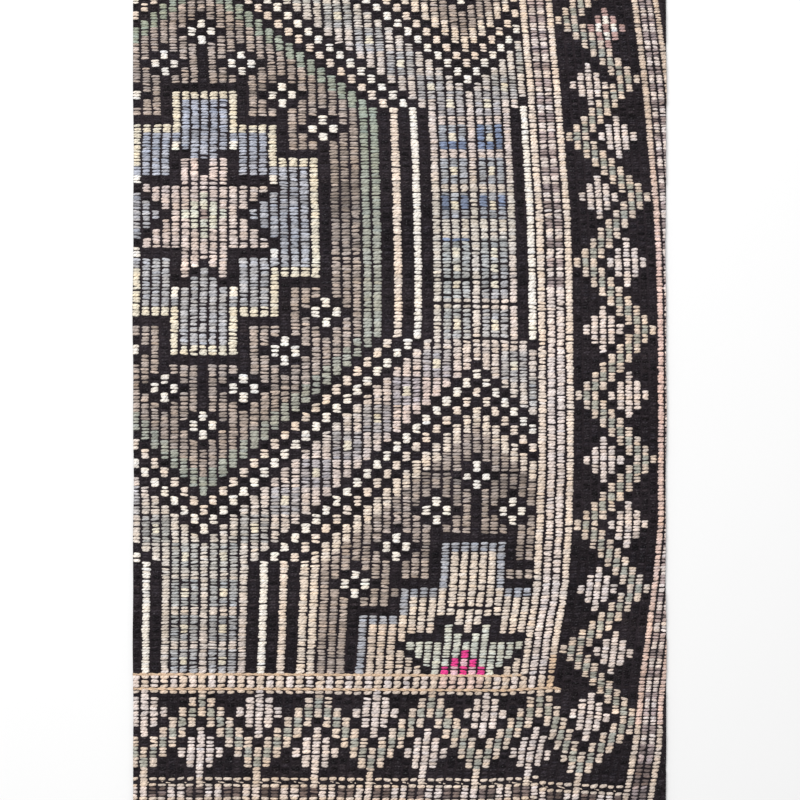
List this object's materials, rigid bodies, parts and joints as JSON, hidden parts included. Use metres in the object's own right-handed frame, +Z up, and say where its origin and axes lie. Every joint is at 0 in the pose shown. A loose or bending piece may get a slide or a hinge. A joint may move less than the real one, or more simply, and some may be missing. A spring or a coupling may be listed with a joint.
{
  "type": "jijim rug, cut length of flat woven cloth",
  "caption": "Flat woven jijim rug cloth, a cut length with raised wool pattern cords on a dark ground, lying flat.",
  "frame": {"origin": "centre of the flat underside, on the surface that the cloth lies on", "axes": "+X to the right across the cords, +Y up the picture along the cords, +Z up out of the patterned face"},
  "size_m": [0.3618, 0.5608, 0.0031],
  "materials": {
    "wool_weave": "matte handspun wool, raised cords in cream, pinkish white, grey, sage green and taupe over a dark brown-black ground"
  },
  "bodies": {
    "root": {"rug_cloth": "wool_weave"}
  },
  "joints": []
}
